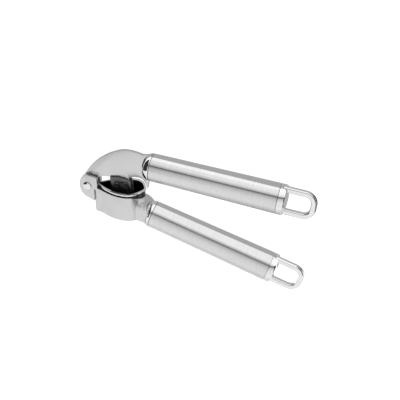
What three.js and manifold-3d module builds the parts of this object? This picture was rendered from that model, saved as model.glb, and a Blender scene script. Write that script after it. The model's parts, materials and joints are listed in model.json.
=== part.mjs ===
// Garlic press: a hopper with a lift-out strainer basket on the lower arm, and an arched
// plate with a plunger on the upper arm, joined by one rivet. Both arms end in a round
// tubular handle with a polished collar, an end cap and a hanging loop.
//
// Millimetres. While the pieces are drawn, the rivet's axis is the Z axis, X runs along
// the hopper towards the handles and +Y points out of the hopper's mouth. At the end the
// whole press is moved so that it lies on its side, with its lowest point at Z = 0.

import * as THREE from 'three';
import { mergeVertices } from 'three/addons/utils/BufferGeometryUtils.js';
import Module from 'manifold-3d';

// ---------- driving dimensions ----------

const gap = 0.3; // clearance between pieces that touch on the real press
const runningGap = 0.3; // clearance between pieces that slide on each other

const restOpening = THREE.MathUtils.degToRad(8); // upper arm above its closed stop

const hopper = {
  left: 7.4, // inside of the basket, nearest the rivet
  peak: 33, // where the basket is widest
  right: 45, // inside of the basket, nearest the handle
  halfWidth: 11.4, // half of the basket's inside width
  swingRadius: 44.6, // inside of the basket's end, round the rivet
  leftPower: 2, // how full the outline is on the rivet side
  rightPower: 2.6, // how full the outline is on the handle side
  bottom: -21, // underside of the housing
  top: -1.2, // upper edge of the housing
  wall: 1.3, // housing wall
  endWall: 0.9, // housing beyond the inside of the basket, at the neck
  blockEnd: 4.5, // housing's round end, under the lugs
  blockRound: 3.5, // how far that end takes to reach the lugs' width
  blendPower: 4, // how sharply the round end turns into the curved wall
  lipHeight: 1.2, // ledge under the basket
  lipDepth: 1.1, // how far that ledge reaches inwards
};

const basket = {
  wall: 0.6,
  floor: 1,
  flangeReach: 2.5, // rim beyond the inside of the basket, at its sides
  flangeTip: 1.4, // the same at its two pointed ends
  flangeTop: 1.6,
  flangeThickness: 1,
  holeRadius: 0.85,
  holePitch: 3.1,
  holeMargin: 1.1, // solid edge round the pattern of holes
};

const plate = {
  thickness: 3,
  hubRadius: 4.6,
  heelDrop: 18.4, // depth of its handle end below the handle's axis
  heelSlant: 0.4,
  seamInset: 0.1, // its upper edge below the collar's shoulder
  archInset: 2, // the same where the arch starts
};

// Free curves of the plate's edge, each a line to a point or a Bezier curve to one.
const plateThroat = [[5.2, 3.4, 8, 6.4, 13.5, 6.8]]; // inner edge, hub to plunger
const plateHeel = [[37.5, 6.6, 44.4, 7, 46.6, 2.6]]; // inner edge, plunger to handle
const plateArch = [[43, 26.8, 36.6, 29, 31, 28], [19.5, 26.2, 8.4, 20, 1.4, 12.2]];
const plateHubBlend = [-1.9, 8.4, -4, 4.4]; // last two handles, back at the hub

const plunger = {
  clearance: 0.5, // round the foot, inside the basket
  lead: 4.6, // room on the handle side for the swing out of the basket
  lift: 0.6, // above the basket's floor when the press is closed
  footHeight: 4,
  stemLeft: 19.5,
  stemRight: 35.2,
  stemTop: 6.8, // up to stemBend
  stemBend: 26,
  stemEnd: 3.4, // at the handle side
  stemThickness: 5.6,
  tongueBottom: -5,
  tongueInset: 1.5, // the plate's tongue is narrower than the stem
  tongueTop: 6.4,
  heelTop: 5.2,
};

const plungerRivets = {
  radius: 1.4,
  inset: 4.5, // from the stem's sides
  height: 0.6,
};

const rivet = {
  shaftRadius: 2.2,
  headRadius: 3.3,
  headHeight: 0.8,
  rimHeight: 0.25, // straight part of the head's edge
  crownRadius: 1.8, // flat top of the head
};

const washer = {
  thickness: 0.5,
  radius: 4.5,
};

const lug = {
  thickness: 2.6,
  right: 8.2,
  floor: -5.6, // bottom of the slot between the lugs
};

// The lug's edge from its upper right corner, round the rivet and down to the housing.
const lugTop = 7.4;
const lugCurve = [
  [1.4, 9.2],
  [-3.2, 10.6, -6.3, 5.5, -6.2, 0.3],
  [-6.1, -5.5, -3.8, -8.8, 1.8, -10.4],
];
const lugBottom = -11.9;

const handle = {
  tubeLength: 97.8,
  headRadius: 10.5, // outside of the tube at the collar
  tailRadius: 11.5, // outside of the tube at the end cap
  tubeWall: 1,
  domeDepth: 7.5,
  spigotLength: 5,
  capLength: 5,
  capRound: 1.4,
  capCrown: 1.6, // how far the cap's end bulges
  rodRadius: 2,
  rodEngagement: 2.5,
};

const loop = {
  reach: 23, // beyond the end cap's shoulder
  halfWidth: 11.5,
  sideBar: 4.6,
  endBar: 4.2,
  thickness: 4.8,
  outerCorner: 9.6,
  innerCorner: 5.4,
  legDepth: 3,
  bevel: 0.9,
};

const upperHandlePlace = { x: 54, y: 13.9, angle: THREE.MathUtils.degToRad(-14.9) };
const lowerHandlePlace = { x: 51.2, y: -19.5, angle: THREE.MathUtils.degToRad(-18.7) };

const neck = {
  start: 33,
  end: 53,
  halfWidth: 10,
  top: -4.6,
  slopeStart: 41, // where the neck starts to fall with the handle
  slopeDepth: 2.8, // how far its underside has fallen at its end
  topBend: 47, // where its top gets steeper
  bendDepth: 6, // how far its top has fallen at that bend
  topDepth: 14, // and at its end
  dipStart: 38, // where the housing's upper edge starts to fall towards the neck
  dipEnd: 44,
  bossRadius: 4.6,
  bossRoot: 2, // how far the boss reaches back into the neck
  shoulder: 8, // height of the rounded part of its section
  shoulderHandle: 2.5,
  crownHandle: 6,
};

// ---------- sizes that follow from them ----------

const floorTop = hopper.bottom + hopper.lipHeight + gap + basket.floor;
const basketBottom = floorTop - basket.floor;
const housingGrow = basket.wall + gap; // from the basket's inside to the housing's inside
const outerGrow = housingGrow + hopper.wall;
const capShoulder = handle.tubeLength + handle.capLength;
const plateHalf = plate.thickness / 2;
const washerInner = plateHalf + runningGap;
const lugInner = washerInner + washer.thickness + runningGap;
const lugOuter = lugInner + lug.thickness;
const footBottom = floorTop + plunger.lift;
const footTop = footBottom + plunger.footHeight;
const boreRadius = handle.rodRadius + gap;
const pocketFace = -2 * gap; // bottom of the collar's pocket, along the handle

// ---------- helpers ----------

const wasm = await Module();
wasm.setup();

const roundSegments = 48;
const smallSegments = 24;
const holeSegments = 8;
const swingSegments = 120;
const tinySegments = 16;
const quarterHandle = 0.55; // Bezier handle of a quarter circle, as a share of its radius
const farAway = 60; // beyond every piece, for cutting tools
const overlap = 1; // by which joined or cut shapes run into each other

function toSolid(geometry) {
  const bare = geometry.clone();
  bare.deleteAttribute('normal');
  bare.deleteAttribute('uv');
  const merged = mergeVertices(bare, 1e-3);
  return new wasm.Manifold(new wasm.Mesh({
    numProp: 3,
    vertProperties: new Float32Array(merged.attributes.position.array),
    triVerts: new Uint32Array(merged.index.array),
  }));
}

function toGeometry(solid) {
  const result = solid.getMesh();
  const geometry = new THREE.BufferGeometry();
  geometry.setAttribute('position', new THREE.BufferAttribute(result.vertProperties, 3));
  geometry.setIndex(new THREE.BufferAttribute(result.triVerts, 1));
  geometry.computeVertexNormals();
  return geometry;
}

// A side outline in X and Y, extruded along Z between two heights.
function sidePrism(shape, low, high, bevel = 0) {
  const geometry = new THREE.ExtrudeGeometry(shape, {
    depth: high - low - 2 * bevel,
    bevelEnabled: bevel > 0,
    bevelThickness: bevel,
    bevelSize: bevel,
    bevelOffset: -bevel,
    bevelSegments: 2,
    curveSegments: 10,
  });
  return geometry.translate(0, 0, low + bevel);
}

// A plan outline in X and Z, symmetric in Z, extruded along Y between two heights.
function planPrism(points, low, high) {
  const geometry = new THREE.ExtrudeGeometry(new THREE.Shape(points), {
    depth: high - low,
    bevelEnabled: false,
  });
  return geometry.rotateX(-Math.PI / 2).translate(0, low, 0);
}

function extend(shape, steps) {
  for (const step of steps) {
    if (step.length === 2) shape.lineTo(...step);
    else shape.bezierCurveTo(...step);
  }
}

function polygon(pairs) {
  return new THREE.Shape(pairs.map(([x, y]) => new THREE.Vector2(x, y)));
}

// Turns a profile of (radius, distance along the axis) about the X axis.
function turnedOnX(profile, segments = roundSegments) {
  const points = profile.map(([radius, along]) => new THREE.Vector2(radius, along));
  return new THREE.LatheGeometry(points, segments).rotateZ(-Math.PI / 2);
}

function turnedOnZ(profile, segments = smallSegments) {
  const points = profile.map(([radius, along]) => new THREE.Vector2(radius, along));
  return new THREE.LatheGeometry(points, segments).rotateX(Math.PI / 2);
}

function cylinderOnZ(radius, low, high, x = 0, y = 0, segments = smallSegments) {
  const geometry = new THREE.CylinderGeometry(radius, radius, high - low, segments);
  return geometry.rotateX(Math.PI / 2).translate(x, y, (low + high) / 2);
}

function handleMatrix(place) {
  const turn = new THREE.Matrix4().makeRotationZ(place.angle);
  return turn.setPosition(place.x, place.y, 0);
}

// ---------- materials ----------

function steel(color, roughness) {
  return new THREE.MeshStandardMaterial({ color, roughness, metalness: 1 });
}

const satinSteel = () => steel(0xc9cacb, 0.38);
const castSteel = () => steel(0xc2c3c4, 0.32);
const polishedSteel = () => steel(0xdcdddf, 0.08);
const darkSteel = () => steel(0x8f9193, 0.4);

function piece(name, geometry, material) {
  const mesh = new THREE.Mesh(geometry, material);
  mesh.name = name;
  return mesh;
}

// ---------- hopper outline ----------

// Half of the width at x, for the basket's inside outline grown at its sides and its ends.
function halfWidthAt(x, grow, endGrow = grow) {
  const half = hopper.halfWidth + grow;
  const left = hopper.left - endGrow;
  const right = hopper.right + endGrow;
  if (x <= left || x >= right) return 0;
  if (x < hopper.peak) {
    const rest = (hopper.peak - x) / (hopper.peak - left);
    return half * (1 - rest ** hopper.leftPower);
  }
  const rest = (x - hopper.peak) / (right - hopper.peak);
  return half * (1 - rest ** hopper.rightPower);
}

// Closed outline between two ends, from a half width that is zero at both.
function outline(left, right, halfWidth, steps = 26) {
  const stations = [];
  for (let i = 0; i <= steps; i += 1) {
    const share = (1 - Math.cos((Math.PI * i) / steps)) / 2;
    stations.push(left + (right - left) * share);
  }
  const near = stations.map((x) => new THREE.Vector2(x, -halfWidth(x)));
  const far = stations.slice(1, -1).reverse().map((x) => new THREE.Vector2(x, halfWidth(x)));
  return [...near, ...far];
}

function hopperPrism(grow, low, high, endGrow = grow) {
  const left = hopper.left - endGrow;
  const right = hopper.right + endGrow;
  const points = outline(left, right, (x) => halfWidthAt(x, grow, endGrow));
  return toSolid(planPrism(points, low, high));
}

// The housing's outside: round under the lugs, then a curved wall that ends at the neck.
function housingHalfWidth(x) {
  if (x >= hopper.peak) return halfWidthAt(x, outerGrow, hopper.endWall);
  const wall = halfWidthAt(x, outerGrow);
  const left = Math.max(0, 1 - (x - hopper.blockEnd) / hopper.blockRound);
  const toPeak = (hopper.peak - x) / (hopper.peak - hopper.blockEnd);
  const block = lugOuter * Math.sqrt(1 - left ** 2) * Math.min(1, 2 * toPeak);
  return (wall ** hopper.blendPower + block ** hopper.blendPower) ** (1 / hopper.blendPower);
}

function housingPrism() {
  const points = outline(hopper.blockEnd, hopper.right + hopper.endWall, housingHalfWidth);
  return toSolid(planPrism(points, hopper.bottom, hopper.top));
}

// The same, with its handle end curved round the rivet so that the plunger can swing out.
function hopperCore(grow, low, high) {
  const swing = cylinderOnZ(hopper.swingRadius + grow, -farAway, farAway, 0, 0, swingSegments);
  return hopperPrism(grow, low, high).intersect(toSolid(swing));
}

// ---------- lower arm ----------

function lugOutline() {
  const shape = new THREE.Shape();
  const root = hopper.top - overlap;
  shape.moveTo(lug.right, root);
  shape.lineTo(lug.right, lugTop);
  extend(shape, lugCurve);
  extend(shape, [
    [hopper.blockEnd, lugBottom],
    [hopper.blockEnd + overlap, lugBottom],
    [hopper.blockEnd + overlap, root],
  ]);
  shape.closePath();
  return shape;
}

function neckOutline() {
  return polygon([
    [neck.start, hopper.bottom],
    [neck.slopeStart, hopper.bottom],
    [neck.end, hopper.bottom - neck.slopeDepth],
    [neck.end, neck.top - neck.topDepth],
    [neck.topBend, neck.top - neck.bendDepth],
    [neck.slopeStart, neck.top],
    [neck.start, neck.top],
  ]);
}

// The neck's section across its length, with a rounded top.
function neckSection() {
  const side = neck.halfWidth;
  const low = neck.top - neck.shoulder;
  const bend = neck.top - neck.shoulderHandle;
  const shape = new THREE.Shape();
  shape.moveTo(-side, -farAway);
  shape.lineTo(-side, low);
  shape.bezierCurveTo(-side, bend, -neck.crownHandle, neck.top, 0, neck.top);
  shape.bezierCurveTo(neck.crownHandle, neck.top, side, bend, side, low);
  shape.lineTo(side, -farAway);
  shape.closePath();
  return shape;
}

function neckSolid() {
  const across = new THREE.ExtrudeGeometry(neckSection(), {
    depth: farAway, bevelEnabled: false, curveSegments: 8,
  });
  return toSolid(sidePrism(neckOutline(), -farAway, farAway))
    .intersect(toSolid(across.rotateY(Math.PI / 2)));
}

function upperEdgeCut() {
  return polygon([
    [hopper.left - farAway, hopper.top],
    [neck.dipStart, hopper.top],
    [neck.dipEnd, neck.top],
    [farAway, neck.top],
    [farAway, farAway],
    [hopper.left - farAway, farAway],
  ]);
}

function domeProfile(grow, steps = 10) {
  const profile = [];
  for (let i = 0; i <= steps; i += 1) {
    const turn = (Math.PI / 2) * (i / steps);
    const radius = (handle.headRadius + grow) * Math.sin(turn);
    profile.push([radius, -(handle.domeDepth + grow) * Math.cos(turn)]);
  }
  return profile;
}

// The space that the collar, tube and their clearance take up.
function handleClearance(place) {
  const profile = [
    ...domeProfile(gap),
    [handle.headRadius + gap, farAway],
    [0, farAway],
  ];
  return toSolid(turnedOnX(profile).applyMatrix4(handleMatrix(place)));
}

// The round end of the neck that sits in the collar's pocket.
function neckBoss() {
  const from = -handle.domeDepth - neck.bossRoot;
  const to = pocketFace - gap;
  const profile = [[0, from], [neck.bossRadius, from], [neck.bossRadius, to], [0, to]];
  const boss = turnedOnX(profile, smallSegments);
  return toSolid(boss.applyMatrix4(handleMatrix(lowerHandlePlace)));
}

function hopperHousing() {
  const slot = polygon([
    [-farAway, lug.floor],
    [plate.hubRadius + gap, lug.floor],
    [plate.hubRadius + gap, hopper.top],
    [farAway, hopper.top],
    [farAway, farAway],
    [-farAway, farAway],
  ]);
  const lugs = toSolid(sidePrism(lugOutline(), -lugOuter, lugOuter))
    .subtract(toSolid(sidePrism(slot, -lugInner, lugInner)))
    .subtract(toSolid(cylinderOnZ(rivet.shaftRadius + gap, -farAway, farAway)));
  const shell = housingPrism()
    .add(neckSolid())
    .subtract(toSolid(sidePrism(upperEdgeCut(), -farAway, farAway)))
    .subtract(handleClearance(lowerHandlePlace))
    .add(neckBoss());
  const seat = hopper.bottom + hopper.lipHeight;
  return shell.add(lugs)
    .subtract(toSolid(sidePrism(slot, -lugInner, lugInner)))
    .subtract(hopperCore(housingGrow, seat, farAway))
    .subtract(hopperCore(housingGrow - hopper.lipDepth, hopper.bottom - overlap, seat + overlap));
}

function sieveHoles() {
  const holes = [];
  const rowStep = basket.holePitch * Math.sin(Math.PI / 3);
  const rows = Math.ceil(hopper.halfWidth / rowStep);
  const columns = Math.ceil((hopper.right - hopper.left) / basket.holePitch);
  const inset = basket.holeRadius + basket.holeMargin;
  for (let row = -rows; row <= rows; row += 1) {
    const shift = row % 2 === 0 ? 0 : basket.holePitch / 2;
    for (let column = -columns; column <= columns; column += 1) {
      const x = hopper.peak + column * basket.holePitch + shift;
      const z = row * rowStep;
      if (halfWidthAt(x, -inset) > Math.abs(z)) holes.push([x, z]);
    }
  }
  return holes;
}

function strainerBasket() {
  const flangeBottom = basket.flangeTop - basket.flangeThickness;
  let solid = hopperCore(basket.wall, basketBottom, flangeBottom + gap)
    .add(hopperPrism(basket.flangeReach, flangeBottom, basket.flangeTop, basket.flangeTip))
    .subtract(hopperCore(0, floorTop, basket.flangeTop + overlap));
  for (const [x, z] of sieveHoles()) {
    const drill = new THREE.CylinderGeometry(
      basket.holeRadius, basket.holeRadius, 3 * basket.floor, holeSegments,
    );
    solid = solid.subtract(toSolid(drill.translate(x, floorTop - basket.floor / 2, z)));
  }
  return solid;
}

function pivotRivet() {
  const shoulder = lugOuter + gap;
  const tip = shoulder + rivet.headHeight;
  return turnedOnZ([
    [0, -tip],
    [rivet.crownRadius, -tip],
    [rivet.headRadius, -shoulder - rivet.rimHeight],
    [rivet.headRadius, -shoulder],
    [rivet.shaftRadius, -shoulder],
    [rivet.shaftRadius, shoulder],
    [rivet.headRadius, shoulder],
    [rivet.headRadius, shoulder + rivet.rimHeight],
    [rivet.crownRadius, tip],
    [0, tip],
  ]);
}

function pivotWasher(low) {
  const inner = rivet.shaftRadius + gap;
  const high = low + washer.thickness;
  return turnedOnZ([
    [inner, low], [washer.radius, low], [washer.radius, high], [inner, high], [inner, low],
  ]);
}

// ---------- upper arm, drawn closed ----------

const hubTurn = THREE.MathUtils.degToRad(171); // where the plate's hub arc starts

function plateOutline() {
  const seam = pocketFace - gap;
  const matrix = handleMatrix(upperHandlePlace);
  const onHandle = (along, across) => {
    const point = new THREE.Vector3(along, across, 0).applyMatrix4(matrix);
    return [point.x, point.y];
  };
  const tongueLeft = plunger.stemLeft + plunger.tongueInset;
  const tongueRight = plunger.stemRight - plunger.tongueInset;
  const shape = new THREE.Shape();
  shape.absarc(0, 0, plate.hubRadius, hubTurn, 2 * hubTurn, false);
  extend(shape, [
    ...plateThroat,
    [tongueLeft, plunger.tongueTop],
    [tongueLeft, plunger.tongueBottom],
    [tongueRight, plunger.tongueBottom],
    [tongueRight, plunger.heelTop],
    ...plateHeel,
    onHandle(seam - plate.heelSlant, -plate.heelDrop),
    onHandle(seam, -handle.headRadius),
    onHandle(seam, handle.headRadius - plate.seamInset),
    onHandle(-handle.domeDepth, handle.headRadius - plate.archInset),
    ...plateArch,
    [...plateHubBlend, ...hubStart()],
  ]);
  return shape;
}

function hubStart() {
  return [plate.hubRadius * Math.cos(hubTurn), plate.hubRadius * Math.sin(hubTurn)];
}

const rivetPlaces = [
  [plunger.stemLeft + plungerRivets.inset, plungerRivets.height],
  [plunger.stemRight - plungerRivets.inset, plungerRivets.height],
];

function rivetHole([x, y]) {
  const radius = plungerRivets.radius + gap;
  return toSolid(cylinderOnZ(radius, -farAway, farAway, x, y, tinySegments));
}

function pressPlate() {
  let solid = toSolid(sidePrism(plateOutline(), -plateHalf, plateHalf))
    .subtract(toSolid(cylinderOnZ(rivet.shaftRadius + runningGap, -farAway, farAway)));
  for (const place of rivetPlaces) solid = solid.subtract(rivetHole(place));
  return solid;
}

function footHalfWidth(x) {
  const inset = -plunger.clearance;
  return Math.min(halfWidthAt(x, inset), halfWidthAt(x + plunger.lead, inset));
}

function plungerBody() {
  const left = hopper.left + plunger.clearance;
  const right = hopper.right - plunger.clearance - plunger.lead;
  const foot = toSolid(planPrism(outline(left, right, footHalfWidth), footBottom, footTop));
  const halfStem = plunger.stemThickness / 2;
  const stem = polygon([
    [plunger.stemLeft, footTop - overlap],
    [plunger.stemRight, footTop - overlap],
    [plunger.stemRight, plunger.stemEnd],
    [plunger.stemBend, plunger.stemTop],
    [plunger.stemLeft, plunger.stemTop],
  ]);
  const slot = polygon([
    [plunger.stemLeft - overlap, plunger.tongueBottom - gap],
    [plunger.stemRight + overlap, plunger.tongueBottom - gap],
    [plunger.stemRight + overlap, plunger.stemTop + overlap],
    [plunger.stemLeft - overlap, plunger.stemTop + overlap],
  ]);
  let solid = foot.add(toSolid(sidePrism(stem, -halfStem, halfStem)))
    .subtract(toSolid(sidePrism(slot, -plateHalf - gap, plateHalf + gap)));
  for (const place of rivetPlaces) solid = solid.subtract(rivetHole(place));
  return solid;
}

function plungerRivet([x, y]) {
  const half = plunger.stemThickness / 2;
  return cylinderOnZ(plungerRivets.radius, -half, half, x, y, tinySegments);
}

// ---------- handles, drawn along X from the collar's shoulder ----------

function tubeRadiusAt(along) {
  const share = along / handle.tubeLength;
  return THREE.MathUtils.lerp(handle.headRadius, handle.tailRadius, share);
}

function handleTube() {
  const start = gap;
  const end = handle.tubeLength - gap;
  return turnedOnX([
    [tubeRadiusAt(start) - handle.tubeWall, start],
    [tubeRadiusAt(start), start],
    [tubeRadiusAt(end), end],
    [tubeRadiusAt(end) - handle.tubeWall, end],
    [tubeRadiusAt(start) - handle.tubeWall, start],
  ]);
}

// Domed collar with a spigot in the tube. Its pocket takes the arm's round boss or,
// as a slot, the arm's plate.
function collarBlank(pocketRadius) {
  const spigotRadius = handle.headRadius - handle.tubeWall - gap;
  const shoulder = domeProfile(0).filter(([radius]) => radius > pocketRadius);
  const mouth = -handle.domeDepth * Math.sqrt(1 - (pocketRadius / handle.headRadius) ** 2);
  return turnedOnX([
    [pocketRadius, mouth],
    ...shoulder,
    [spigotRadius, 0],
    [spigotRadius, handle.spigotLength],
    [boreRadius, handle.spigotLength],
    [boreRadius, pocketFace],
    ...(pocketRadius > boreRadius ? [[pocketRadius, pocketFace]] : []),
    [pocketRadius, mouth],
  ]);
}

function lowerCollar() {
  return collarBlank(neck.bossRadius + gap);
}

function upperCollar() {
  const slot = polygon([
    [-farAway, -farAway],
    [pocketFace, -farAway],
    [pocketFace, farAway],
    [-farAway, farAway],
  ]);
  const cut = toSolid(sidePrism(slot, -plateHalf - gap, plateHalf + gap));
  return toGeometry(toSolid(collarBlank(boreRadius)).subtract(cut));
}

function tieRod() {
  const end = handle.tubeLength + handle.rodEngagement;
  const profile = [[0, 0], [handle.rodRadius, 0], [handle.rodRadius, end], [0, end]];
  return turnedOnX(profile, smallSegments);
}

function capBlank() {
  const start = handle.tubeLength - handle.spigotLength;
  const end = capShoulder;
  const spigotRadius = handle.tailRadius - handle.tubeWall - gap;
  const crownRadius = handle.tailRadius - handle.capRound;
  const roundMid = handle.capRound * (1 - Math.SQRT1_2);
  const crown = [1, 0.7, 0.35, 0].map((share) => [
    crownRadius * share, end + handle.capCrown * (1 - share ** 2),
  ]);
  return turnedOnX([
    [boreRadius, start],
    [spigotRadius, start],
    [spigotRadius, handle.tubeLength],
    [handle.tailRadius, handle.tubeLength],
    [handle.tailRadius, end - handle.capRound],
    [handle.tailRadius - roundMid, end - roundMid],
    ...crown,
    [0, handle.tubeLength + handle.rodEngagement + gap],
    [boreRadius, handle.tubeLength + handle.rodEngagement + gap],
    [boreRadius, start],
  ]);
}

// One outline of the U-shaped loop, drawn round from its upper leg to its lower leg.
function loopPath(shape, side, end, corner, reversed) {
  const foot = capShoulder - loop.legDepth;
  const turn = capShoulder + loop.reach - corner;
  const bend = quarterHandle * corner;
  const sign = reversed ? -1 : 1;
  if (reversed) shape.lineTo(foot, sign * side);
  else shape.moveTo(foot, sign * side);
  shape.lineTo(turn, sign * side);
  shape.bezierCurveTo(
    turn + bend, sign * side, end, sign * (side - corner + bend), end, sign * (side - corner),
  );
  shape.lineTo(end, -sign * (side - corner));
  shape.bezierCurveTo(
    end, -sign * (side - corner + bend), turn + bend, -sign * side, turn, -sign * side,
  );
  shape.lineTo(foot, -sign * side);
}

function hangingLoop() {
  const tip = capShoulder + loop.reach;
  const shape = new THREE.Shape();
  loopPath(shape, loop.halfWidth, tip, loop.outerCorner, false);
  loopPath(shape, loop.halfWidth - loop.sideBar, tip - loop.endBar, loop.innerCorner, true);
  return sidePrism(shape, -loop.thickness / 2, loop.thickness / 2, loop.bevel);
}

function endCap() {
  const inner = loop.halfWidth - loop.sideBar - gap;
  const halfThick = loop.thickness / 2 + gap;
  let solid = toSolid(capBlank());
  for (const sign of [-1, 1]) {
    const pocket = polygon([
      [capShoulder - loop.legDepth - gap, sign * inner],
      [capShoulder + handle.capCrown, sign * inner],
      [capShoulder + handle.capCrown, sign * (handle.tailRadius + overlap)],
      [capShoulder - loop.legDepth - gap, sign * (handle.tailRadius + overlap)],
    ]);
    solid = solid.subtract(toSolid(sidePrism(pocket, -halfThick, halfThick)));
  }
  return toGeometry(solid);
}

function handleGroup(prefix, collar, place) {
  const group = new THREE.Group();
  group.add(
    piece(`${prefix}_collar`, collar, polishedSteel()),
    piece(`${prefix}_handle_tube`, handleTube(), satinSteel()),
    piece(`${prefix}_tie_rod`, tieRod(), darkSteel()),
    piece(`${prefix}_end_cap`, endCap(), polishedSteel()),
    piece(`${prefix}_hanging_loop`, hangingLoop(), polishedSteel()),
  );
  group.position.set(place.x, place.y, 0);
  group.rotation.z = place.angle;
  return group;
}

// ---------- assembly ----------

function lowerArm() {
  const arm = new THREE.Group();
  arm.add(
    piece('hopper_housing', toGeometry(hopperHousing()), castSteel()),
    piece('strainer_basket', toGeometry(strainerBasket()), satinSteel()),
    piece('pivot_rivet', pivotRivet(), polishedSteel()),
    piece('pivot_washer_near', pivotWasher(washerInner), darkSteel()),
    piece('pivot_washer_far', pivotWasher(-washerInner - washer.thickness), darkSteel()),
    handleGroup('lower', lowerCollar(), lowerHandlePlace),
  );
  return arm;
}

function upperArm() {
  const arm = new THREE.Group();
  arm.add(
    piece('press_plate', toGeometry(pressPlate()), castSteel()),
    piece('plunger', toGeometry(plungerBody()), castSteel()),
    piece('plunger_rivet_front', plungerRivet(rivetPlaces[0]), darkSteel()),
    piece('plunger_rivet_rear', plungerRivet(rivetPlaces[1]), darkSteel()),
    handleGroup('upper', upperCollar(), upperHandlePlace),
  );
  arm.rotation.z = restOpening;
  return arm;
}

function garlicPress() {
  const press = new THREE.Group();
  press.add(lowerArm(), upperArm());
  press.updateMatrixWorld(true);
  const box = new THREE.Box3().setFromObject(press, true);
  const centre = box.getCenter(new THREE.Vector3());
  press.position.set(-centre.x, -centre.y, -box.min.z);
  return press;
}

export default garlicPress();
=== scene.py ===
"""Looks of a steel garlic press that lies on its side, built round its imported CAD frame."""

import json
import math

import bmesh
import bpy
from mathutils import Matrix, Vector


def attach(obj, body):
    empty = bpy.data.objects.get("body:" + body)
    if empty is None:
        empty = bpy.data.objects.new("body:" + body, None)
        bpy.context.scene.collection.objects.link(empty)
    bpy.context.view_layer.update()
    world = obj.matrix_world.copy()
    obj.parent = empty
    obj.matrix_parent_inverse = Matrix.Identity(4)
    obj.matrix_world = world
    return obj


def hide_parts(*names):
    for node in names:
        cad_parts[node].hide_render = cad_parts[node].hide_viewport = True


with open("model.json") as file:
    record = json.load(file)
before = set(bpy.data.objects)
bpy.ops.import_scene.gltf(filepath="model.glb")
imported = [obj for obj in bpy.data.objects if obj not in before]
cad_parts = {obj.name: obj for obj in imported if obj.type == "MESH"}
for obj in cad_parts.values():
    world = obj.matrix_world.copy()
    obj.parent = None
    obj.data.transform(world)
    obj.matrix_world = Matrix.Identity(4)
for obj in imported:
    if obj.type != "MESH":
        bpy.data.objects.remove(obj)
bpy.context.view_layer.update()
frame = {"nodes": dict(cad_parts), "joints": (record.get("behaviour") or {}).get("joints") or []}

MM = 0.001
RIVET = Vector(frame["joints"][0]["pos_m"])

# ---------- sizes shared with the CAD model, in millimetres ----------

GAP = 0.3
REST_OPENING = math.radians(8)
TUBE = {"length": 97.8, "head_radius": 10.5, "tail_radius": 11.5, "wall": 1}
LOOP = {
    "foot": 99.8, "tip": 125.8, "half_width": 11.5, "bar": 4.6, "thickness": 4.8, "corner": 7.3,
}
HANDLES = {
    "lower": {"x": 51.2, "y": -19.5, "angle": math.radians(-18.7), "opening": 0},
    "upper": {"x": 54, "y": 13.9, "angle": math.radians(-14.9), "opening": REST_OPENING},
}

# The basket's bright rim, in metres: its underside above the rivet's axis, and the blend below into
# the painted shade of the wall and inside.
RIM_BOTTOM = 0.0007
RIM_BLEND = 0.0004

# ---------- camera, floor and light ----------

AZIMUTH = math.radians(16)
ELEVATION = math.radians(30)
CAMERA_DISTANCE = 0.6
LENS = 72
SENSOR = 36
AIM = RIVET + Vector((0.089, -0.0012, 0))


def make_camera():
    """Looks at the press as if it stood upright on its lower handle, so it is rolled."""
    back = Vector((
        math.sin(AZIMUTH) * math.cos(ELEVATION),
        math.sin(ELEVATION),
        math.cos(AZIMUTH) * math.cos(ELEVATION),
    ))
    right = Vector((math.cos(AZIMUTH), 0, -math.sin(AZIMUTH)))
    up = back.cross(right)
    turn = Matrix((right, up, back)).transposed().to_4x4()
    data = bpy.data.cameras.new("camera")
    data.lens = LENS
    data.sensor_width = SENSOR
    camera = bpy.data.objects.new("camera", data)
    camera.matrix_world = Matrix.Translation(AIM + back * CAMERA_DISTANCE) @ turn
    bpy.context.scene.collection.objects.link(camera)
    bpy.context.scene.camera = camera


# Brightness of the light tent by the angle from straight up towards +Y, in degrees.
TENT = (
    (-95, 0.5),
    (-74, 0.8),
    (-50, 0.94),
    (0, 0.87),
    (17, 0.7),
    (30, 0.5),
    (33, 0.18),
    (40, 0.18),
    (43, 0.6),
    (50, 0.8),
    (60, 1.04),
    (85, 1.1),
    (95, 1.2),
)


def make_world():
    world = bpy.data.worlds.new("light tent")
    bpy.context.scene.world = world
    world.use_nodes = True
    nodes = world.node_tree.nodes
    links = world.node_tree.links
    nodes.clear()
    place = nodes.new("ShaderNodeTexCoord")
    split = nodes.new("ShaderNodeSeparateXYZ")
    links.new(place.outputs["Generated"], split.inputs[0])
    angle = nodes.new("ShaderNodeMath")
    angle.operation = "ARCTAN2"
    links.new(split.outputs["Y"], angle.inputs[0])
    links.new(split.outputs["Z"], angle.inputs[1])
    share = nodes.new("ShaderNodeMapRange")
    low, high = TENT[0][0], TENT[-1][0]
    share.inputs["From Min"].default_value = math.radians(low)
    share.inputs["From Max"].default_value = math.radians(high)
    links.new(angle.outputs[0], share.inputs["Value"])
    ramp = nodes.new("ShaderNodeValToRGB")
    ramp.color_ramp.elements.remove(ramp.color_ramp.elements[1])
    for number, (degrees, light) in enumerate(TENT):
        position = (degrees - low) / (high - low)
        elements = ramp.color_ramp.elements
        element = elements[0] if number == 0 else elements.new(position)
        element.position = position
        element.color = (light, light, light, 1)
    links.new(share.outputs["Result"], ramp.inputs["Fac"])
    background = nodes.new("ShaderNodeBackground")
    links.new(ramp.outputs["Color"], background.inputs["Color"])
    output = nodes.new("ShaderNodeOutputWorld")
    links.new(background.outputs[0], output.inputs["Surface"])


# Metres, and the paper's own brightness under its diffuse colour.
FLOOR = {"half": 20, "height": -0.0004, "colour": 0.5, "glow": 0.85, "roughness": 0.9}
FLAG_HEIGHT = -0.0002


def card(name, corners):
    mesh = bpy.data.meshes.new(name)
    mesh.from_pydata(corners, [], [(0, 1, 2, 3)])
    return link(name, mesh)


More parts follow.
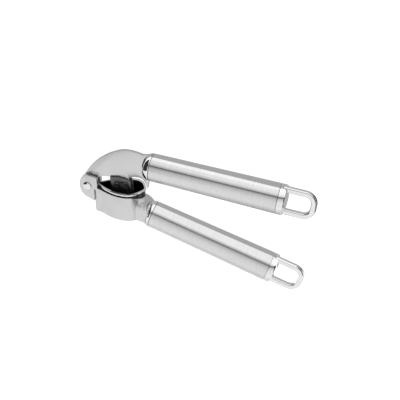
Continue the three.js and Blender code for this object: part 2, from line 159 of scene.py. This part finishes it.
def flat_card(name, low, high, height):
    corners = [(low[0], low[1]), (high[0], low[1]), (high[0], high[1]), (low[0], high[1])]
    return card(name, [(x, y, height) for x, y in corners])


# Grey cards on the floor that only mirrored rays see: corners in metres, and brightness.
FLAGS = {
    "far": ((-0.13, -0.045), (0.1, 0.082), 0.48),
    "near": ((-0.2, -0.26), (0.2, -0.085), 0.6),
    "end": ((0.096, -0.03), (0.2, 0.09), 0.03),
}
# Dark upright cards past the two ends of the press: place along X, then Y and Z ranges.
SIDE_FLAGS = {
    "left": (-0.24, (-0.02, 0.6), (0, 0.5)),
    "right": (0.22, (-0.12, 0.12), (0.03, 0.2)),
}
FLAG_BLACK = 0.03


# A white card between the handles that lights the lower one: it stands along the lower
# handle at an offset from its axis, in millimetres, and only its lower side is seen.
GLOW = {"offset": 20, "start": -12, "end": 118, "bottom": 10, "top": 28, "light": 1.1}


def glow_card():
    axis = handle_matrix("lower")
    corners = []
    for along, height in (("start", "bottom"), ("end", "bottom"), ("end", "top"), ("start", "top")):
        point = axis @ Vector((GLOW[along] * MM, GLOW["offset"] * MM, 0))
        corners.append((point.x, point.y, GLOW[height] * MM))
    paper = flag_paper("glow card paper", GLOW["light"])
    nodes = paper.node_tree.nodes
    links = paper.node_tree.links
    side = nodes.new("ShaderNodeNewGeometry")
    clear = nodes.new("ShaderNodeBsdfTransparent")
    mix = nodes.new("ShaderNodeMixShader")
    links.new(side.outputs["Backfacing"], mix.inputs[0])
    links.new(nodes["Principled BSDF"].outputs[0], mix.inputs[1])
    links.new(clear.outputs[0], mix.inputs[2])
    links.new(mix.outputs[0], nodes["Material Output"].inputs["Surface"])
    only_mirrored(card("glow card", corners), paper)


def only_mirrored(flag, paper):
    flag.data.materials.append(paper)
    flag.visible_camera = False
    flag.visible_diffuse = False
    flag.visible_shadow = False
    flag.visible_transmission = False


def flag_paper(name, light):
    material, shader = new_material(name)
    shader.inputs["Base Color"].default_value = (0, 0, 0, 1)
    shader.inputs["Specular IOR Level"].default_value = 0
    shader.inputs["Emission Color"].default_value = (1, 1, 1, 1)
    shader.inputs["Emission Strength"].default_value = light
    return material


def make_floor():
    half = FLOOR["half"]
    grey = FLOOR["colour"]
    floor = flat_card("floor", (-half, -half), (half, half), FLOOR["height"])
    material, shader = new_material("floor paper")
    shader.inputs["Base Color"].default_value = (grey, grey, grey, 1)
    shader.inputs["Roughness"].default_value = FLOOR["roughness"]
    shader.inputs["Specular IOR Level"].default_value = 0
    shader.inputs["Emission Color"].default_value = (1, 1, 1, 1)
    shader.inputs["Emission Strength"].default_value = FLOOR["glow"]
    floor.data.materials.append(material)


def make_flags():
    for name, (low, high, light) in FLAGS.items():
        flag = flat_card(f"{name} flag", low, high, FLAG_HEIGHT)
        only_mirrored(flag, flag_paper(f"{name} flag paper", light))
    for name, (x, (near, far), (low, high)) in SIDE_FLAGS.items():
        corners = ((x, near, low), (x, far, low), (x, far, high), (x, near, high))
        flag = card(f"{name} flag", corners)
        only_mirrored(flag, flag_paper(f"{name} flag paper", FLAG_BLACK))
    glow_card()


# ---------- materials ----------

# Sockets of a Mix node that mixes colours.
MIX_FIRST = 6
MIX_SECOND = 7
MIX_RESULT = 2

NOISE_RANGE = (0.3, 0.7)
GRAIN_DEPTH = 0.00003
# Colour of the painted shade on the basket's wall and inside, below its rim.
PAINTED_SHADE = (0.05, 0.05, 0.052, 1)


def new_material(name):
    material = bpy.data.materials.new(name)
    material.use_nodes = True
    shader = material.node_tree.nodes["Principled BSDF"]
    return material, shader


def noise(material, scale, detail, stretch=(1, 1, 1)):
    """A noise texture in the piece's own coordinates, with a scale in cycles per metre."""
    nodes = material.node_tree.nodes
    links = material.node_tree.links
    place = nodes.new("ShaderNodeTexCoord")
    mapping = nodes.new("ShaderNodeMapping")
    mapping.inputs["Scale"].default_value = stretch
    links.new(place.outputs["Object"], mapping.inputs["Vector"])
    texture = nodes.new("ShaderNodeTexNoise")
    texture.inputs["Scale"].default_value = scale
    texture.inputs["Detail"].default_value = detail
    links.new(mapping.outputs[0], texture.inputs["Vector"])
    return texture.outputs["Fac"]


def spread(material, value, low, high):
    """Maps the range that a noise mostly keeps within to another range."""
    nodes = material.node_tree.nodes
    links = material.node_tree.links
    node = nodes.new("ShaderNodeMapRange")
    node.inputs["From Min"].default_value = NOISE_RANGE[0]
    node.inputs["From Max"].default_value = NOISE_RANGE[1]
    node.inputs["To Min"].default_value = low
    node.inputs["To Max"].default_value = high
    links.new(value, node.inputs["Value"])
    return node.outputs["Result"]


def bump(material, shader, height, strength):
    nodes = material.node_tree.nodes
    links = material.node_tree.links
    node = nodes.new("ShaderNodeBump")
    node.inputs["Strength"].default_value = strength
    node.inputs["Distance"].default_value = GRAIN_DEPTH
    links.new(height, node.inputs["Height"])
    links.new(node.outputs["Normal"], shader.inputs["Normal"])


def steel(name, light, dark, roughness, grain, stretch=(1, 1, 1), strength=0.15):
    """Steel whose colour and roughness both vary a little with a fine grain."""
    material, shader = new_material(name)
    links = material.node_tree.links
    shader.inputs["Metallic"].default_value = 1
    fine = noise(material, grain, 4, stretch)
    cloud = noise(material, 45, 2)
    tint = material.node_tree.nodes.new("ShaderNodeMix")
    tint.data_type = "RGBA"
    tint.inputs[MIX_FIRST].default_value = (dark, dark, dark * 1.01, 1)
    tint.inputs[MIX_SECOND].default_value = (light, light, light * 1.01, 1)
    links.new(spread(material, fine, 0, 1), tint.inputs[0])
    links.new(tint.outputs[MIX_RESULT], shader.inputs["Base Color"])
    links.new(spread(material, cloud, roughness[0], roughness[1]), shader.inputs["Roughness"])
    bump(material, shader, fine, strength)
    return material, shader


def basket_steel():
    """Bright rim; the wall and the inside below it are painted dark as shade."""
    material, shader = steel("drawn sheet steel", 0.92, 0.84, (0.12, 0.2), 900)
    nodes = material.node_tree.nodes
    links = material.node_tree.links
    place = nodes.new("ShaderNodeTexCoord")
    split = nodes.new("ShaderNodeSeparateXYZ")
    links.new(place.outputs["Object"], split.inputs[0])
    depth = nodes.new("ShaderNodeMapRange")
    depth.inputs["From Min"].default_value = RIVET.y + RIM_BOTTOM - RIM_BLEND
    depth.inputs["From Max"].default_value = RIVET.y + RIM_BOTTOM
    links.new(split.outputs["Y"], depth.inputs["Value"])
    # Painted shade: below the rim's underside the basket's colour goes dark.
    painted_shade = nodes.new("ShaderNodeMix")
    painted_shade.data_type = "RGBA"
    links.new(depth.outputs["Result"], painted_shade.inputs[0])
    painted_shade.inputs[MIX_FIRST].default_value = PAINTED_SHADE
    bright = shader.inputs["Base Color"].links[0].from_socket
    links.new(bright, painted_shade.inputs[MIX_SECOND])
    links.new(painted_shade.outputs[MIX_RESULT], shader.inputs["Base Color"])
    return material


def brushed_tube_steel():
    """Turned steel: fine rings round the tube blur what it mirrors along its length."""
    material, shader = steel(
        "brushed tube steel", 0.78, 0.7, (0.19, 0.23), 400, (8, 0.4, 0.4), 0.1,
    )
    shader.inputs["Anisotropic"].default_value = 0.9
    shader.inputs["Anisotropic Rotation"].default_value = 0.25
    tangent = material.node_tree.nodes.new("ShaderNodeTangent")
    tangent.direction_type = "RADIAL"
    tangent.axis = "X"
    material.node_tree.links.new(tangent.outputs[0], shader.inputs["Tangent"])
    return material


MATERIALS = {}


def make_materials():
    MATERIALS["tube"] = brushed_tube_steel()
    MATERIALS["cast"] = steel("blasted cast steel", 0.74, 0.66, (0.26, 0.34), 2200)[0]
    MATERIALS["polished"] = steel("polished steel", 0.9, 0.84, (0.04, 0.09), 300, strength=0.02)[0]
    MATERIALS["basket"] = basket_steel()
    # The plunger and its studs are painted dark as shade, the shade down inside the basket.
    MATERIALS["plunger"] = steel("steel painted dark as shade", 0.2, 0.14, (0.3, 0.4), 900)[0]
    MATERIALS["plain"] = steel("machined steel", 0.5, 0.42, (0.3, 0.4), 1500)[0]


# ---------- meshes ----------

WELD = 2e-6
FLAT_WITHIN = math.radians(0.5)
SMOOTH_BELOW = math.radians(32)
BEVEL_ABOVE = math.radians(30)


def link(name, mesh):
    piece = bpy.data.objects.new(name, mesh)
    bpy.context.scene.collection.objects.link(piece)
    return piece


def smooth_by_angle(mesh):
    """Smooth faces, with the edges sharper than the angle kept crisp."""
    form = bmesh.new()
    form.from_mesh(mesh)
    for face in form.faces:
        face.smooth = True
    for edge in form.edges:
        edge.smooth = len(edge.link_faces) == 2 and edge.calc_face_angle(0) < SMOOTH_BELOW
    form.to_mesh(mesh)
    form.free()


def refined_copy(node, name, bevel):
    """The CAD node's shape with its flat facets joined and its edges broken."""
    mesh = frame["nodes"][node].data.copy()
    mesh.materials.clear()
    form = bmesh.new()
    form.from_mesh(mesh)
    bmesh.ops.remove_doubles(form, verts=form.verts, dist=WELD)
    bmesh.ops.dissolve_limit(
        form, angle_limit=FLAT_WITHIN, verts=form.verts, edges=form.edges,
    )
    form.to_mesh(mesh)
    form.free()
    piece = link(name, mesh)
    modifier = piece.modifiers.new("broken edges", "BEVEL")
    modifier.width = bevel * MM
    modifier.segments = 3
    modifier.limit_method = "ANGLE"
    modifier.angle_limit = BEVEL_ABOVE
    apply_modifiers(piece)
    smooth_by_angle(piece.data)
    return piece


def apply_modifiers(piece):
    graph = bpy.context.evaluated_depsgraph_get()
    graph.update()
    mesh = bpy.data.meshes.new_from_object(piece.evaluated_get(graph))
    piece.modifiers.clear()
    piece.data = mesh


def turned(name, profile, segments=128):
    """Turns a closed profile of (along, radius) in millimetres about the X axis."""
    verts = []
    for along, radius in profile:
        for step in range(segments):
            turn = math.tau * step / segments
            verts.append((along * MM, radius * MM * math.cos(turn), radius * MM * math.sin(turn)))
    rings = len(profile)
    faces = []
    for ring in range(rings):
        nxt = (ring + 1) % rings
        for step in range(segments):
            other = (step + 1) % segments
            faces.append((
                ring * segments + step,
                ring * segments + other,
                nxt * segments + other,
                nxt * segments + step,
            ))
    return link(name, closed_mesh(name, verts, faces))


def loop_path(steps=14):
    """The middle of the hanging loop's bar, from one leg round to the other, in millimetres."""
    half = LOOP["half_width"] - LOOP["bar"] / 2
    end = LOOP["tip"] - LOOP["bar"] / 2
    corner = LOOP["corner"]
    points = [(LOOP["foot"], half), ((LOOP["foot"] + end - corner) / 2, half)]
    for sign in (1, -1):
        for step in range(steps + 1):
            turn = math.pi / 2 * (step / steps if sign == 1 else 1 - step / steps)
            along = end - corner + corner * math.sin(turn)
            across = half - corner + corner * math.cos(turn)
            points.append((along, sign * across))
    points += [((LOOP["foot"] + end - corner) / 2, -half), (LOOP["foot"], -half)]
    return [Vector(point) for point in points]


def rounded_section(width, height, power=2.8, steps=36):
    """A rectangle with fully rounded sides, as a superellipse."""
    points = []
    for step in range(steps):
        turn = math.tau * step / steps
        cosine, sine = math.cos(turn), math.sin(turn)
        points.append((
            width / 2 * math.copysign(abs(cosine) ** (2 / power), cosine),
            height / 2 * math.copysign(abs(sine) ** (2 / power), sine),
        ))
    return points


def swept(name, path, section):
    """Carries a section along a flat path in X and Y, and closes both ends."""
    verts = []
    for number, point in enumerate(path):
        before = path[max(number - 1, 0)]
        after = path[min(number + 1, len(path) - 1)]
        tangent = (after - before).normalized()
        normal = Vector((-tangent.y, tangent.x))
        for across, up in section:
            place = point + normal * across
            verts.append((place.x * MM, place.y * MM, up * MM))
    count = len(section)
    faces = [tuple(range(count)), tuple(range((len(path) - 1) * count, len(path) * count))]
    for ring in range(len(path) - 1):
        for step in range(count):
            other = (step + 1) % count
            faces.append((
                ring * count + step,
                ring * count + other,
                (ring + 1) * count + other,
                (ring + 1) * count + step,
            ))
    return link(name, closed_mesh(name, verts, faces))


def closed_mesh(name, verts, faces):
    mesh = bpy.data.meshes.new(name)
    mesh.from_pydata(verts, [], faces)
    form = bmesh.new()
    form.from_mesh(mesh)
    bmesh.ops.recalc_face_normals(form, faces=form.faces)
    form.to_mesh(mesh)
    form.free()
    smooth_by_angle(mesh)
    return mesh


def handle_matrix(arm):
    place = HANDLES[arm]
    opening = Matrix.Rotation(place["opening"], 4, "Z")
    move = Matrix.Translation(Vector((place["x"], place["y"], 0)) * MM)
    turn = Matrix.Rotation(place["angle"], 4, "Z")
    return Matrix.Translation(RIVET) @ opening @ move @ turn


def finish_piece(piece, body, nodes, material):
    piece.data.materials.clear()
    piece.data.materials.append(MATERIALS[material])
    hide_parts(*nodes)
    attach(piece, body)
    return piece


def handle_tube(arm):
    edge = 0.25
    start = GAP
    end = TUBE["length"] - GAP
    head = TUBE["head_radius"]
    tail = TUBE["tail_radius"]
    wall = TUBE["wall"]
    tube = turned(f"{arm}_tube", [
        (start, head - wall),
        (start, head - edge),
        (start + edge, head),
        (end - edge, tail),
        (end, tail - edge),
        (end, tail - wall),
    ])
    tube.matrix_world = handle_matrix(arm)
    return finish_piece(
        tube, f"{arm}_arm", [f"{arm}_handle_tube"], "tube",
    )


def hanging_loop(arm):
    section = rounded_section(LOOP["bar"], LOOP["thickness"])
    loop = swept(f"{arm}_loop", loop_path(), section)
    loop.matrix_world = handle_matrix(arm)
    return finish_piece(
        loop, f"{arm}_arm", [f"{arm}_hanging_loop"], "polished",
    )


# name, node, body, bevel in millimetres, slot, material
COPIES = (
    ("housing_casting", "hopper_housing", "lower_arm", 0.2, "cast_steel", "cast"),
    ("basket_pressing", "strainer_basket", "lower_arm", 0.12, "basket_steel", "basket"),
    ("rivet_head", "pivot_rivet", "lower_arm", 0.2, "polished_steel", "polished"),
    ("near_washer", "pivot_washer_near", "lower_arm", 0.1, "washer_steel", "plain"),
    ("far_washer", "pivot_washer_far", "lower_arm", 0.1, "washer_steel", "plain"),
    ("lower_ferrule", "lower_collar", "lower_arm", 0.15, "polished_steel", "polished"),
    ("lower_rod", "lower_tie_rod", "lower_arm", 0.15, "washer_steel", "plain"),
    ("lower_cap", "lower_end_cap", "lower_arm", 0.2, "polished_steel", "polished"),
    ("plate_blank", "press_plate", "upper_arm", 0.3, "cast_steel", "cast"),
    ("plunger_foot", "plunger", "upper_arm", 0.3, "plunger_steel", "plunger"),
    ("front_stud", "plunger_rivet_front", "upper_arm", 0.2, "washer_steel", "plunger"),
    ("rear_stud", "plunger_rivet_rear", "upper_arm", 0.2, "washer_steel", "plunger"),
    ("upper_ferrule", "upper_collar", "upper_arm", 0.15, "polished_steel", "polished"),
    ("upper_rod", "upper_tie_rod", "upper_arm", 0.15, "washer_steel", "plain"),
    ("upper_cap", "upper_end_cap", "upper_arm", 0.2, "polished_steel", "polished"),
)


def make_press():
    for arm in ("lower", "upper"):
        handle_tube(arm)
        hanging_loop(arm)
    for name, node, body, bevel, slot, material in COPIES:
        piece = refined_copy(node, name, bevel)
        finish_piece(piece, body, [node], material)


make_camera()
make_world()
make_floor()
make_flags()
bpy.context.scene.view_settings.view_transform = "Standard"
make_materials()
make_press()
